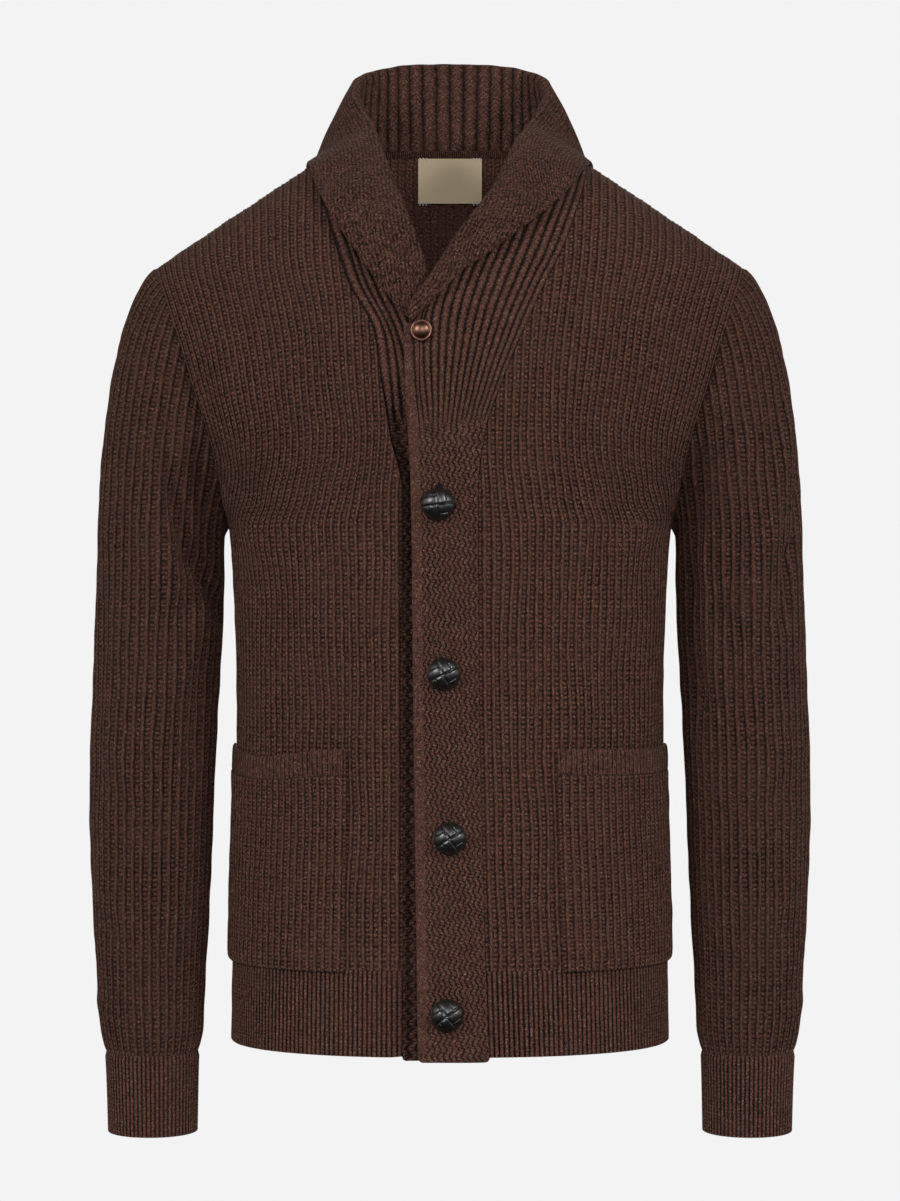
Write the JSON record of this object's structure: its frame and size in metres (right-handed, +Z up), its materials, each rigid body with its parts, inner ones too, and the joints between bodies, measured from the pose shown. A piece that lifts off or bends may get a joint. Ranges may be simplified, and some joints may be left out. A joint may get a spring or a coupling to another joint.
{
  "type": "shawl collar cardigan",
  "caption": "Hollow, rib-knit cardigan with a turned shawl collar, buttoned front band, two patch pockets and long sleeves, held in the shape of the wearer's body.",
  "frame": {"origin": "the middle of the garment at the height of the shoulder line, where the wearer's shoulders carry it", "axes": "+X to the wearer's left, -Y to the front, +Z up to the collar"},
  "size_m": [0.5604, 0.2572, 0.841],
  "materials": {
    "wool_body": "heathered dark brown lambswool, ribbed, matt with a soft fuzz",
    "wool_welt": "the same wool in a fine tight rib at the hem, cuffs and pocket tops",
    "wool_band": "the same wool in a raised herringbone stitch",
    "wool_collar": "the same wool, fine and even on the fall, in wide ribs inside the stand",
    "wool_tape": "narrow linked neck seam tape",
    "label_satin": "blank beige satin label",
    "button_leather": "near-black plaited leather with a soft polish",
    "snap_metal": "polished copper-coloured press stud cap"
  },
  "bodies": {
    "root": {"back": "wool_body", "front_right": "wool_body", "front_left": "wool_body", "sleeve_right": "wool_body", "sleeve_left": "wool_body", "cuff_right": "wool_welt", "cuff_left": "wool_welt", "hem_back": "wool_welt", "hem_front_right": "wool_welt", "hem_front_left": "wool_welt", "band_right": "wool_band", "band_left": "wool_band", "collar": "wool_collar", "pocket_right": "wool_body", "pocket_left": "wool_body", "pocket_welt_right": "wool_welt", "pocket_welt_left": "wool_welt", "neck_tape": "wool_tape", "neck_label": "label_satin", "button_1": "button_leather", "button_2": "button_leather", "button_3": "button_leather", "button_4": "button_leather", "snap": "snap_metal"}
  },
  "joints": []
}
